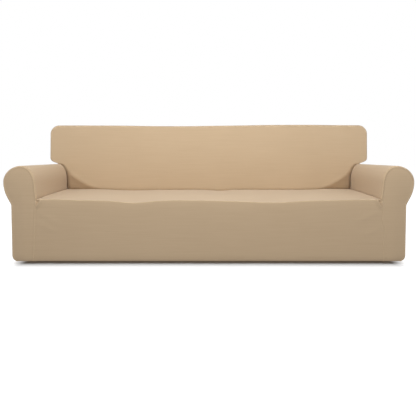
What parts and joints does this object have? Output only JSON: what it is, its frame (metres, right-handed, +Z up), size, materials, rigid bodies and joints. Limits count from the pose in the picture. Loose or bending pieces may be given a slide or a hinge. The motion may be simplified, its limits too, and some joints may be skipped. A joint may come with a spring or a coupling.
{
  "type": "sofa slipcover",
  "caption": "Fitted stretch-knit cover shaped by a wide rolled-arm sofa: seat and front, inside and outside back, arms and arm fronts, hollow and open below.",
  "frame": {"origin": "on the plane of the hem, under the middle of the cover's overall width and depth", "axes": "+X along the width, to the right as seen from the front; +Y from the front to the back; +Z up"},
  "size_m": [2.78, 0.94, 0.9644],
  "materials": {
    "stretch_knit": "matt fine-ribbed stretch knit"
  },
  "bodies": {
    "root": {"seat_and_front": "stretch_knit", "inside_back": "stretch_knit", "outside_back": "stretch_knit", "arm_left": "stretch_knit", "arm_right": "stretch_knit", "arm_front_left": "stretch_knit", "arm_front_right": "stretch_knit"}
  },
  "joints": []
}
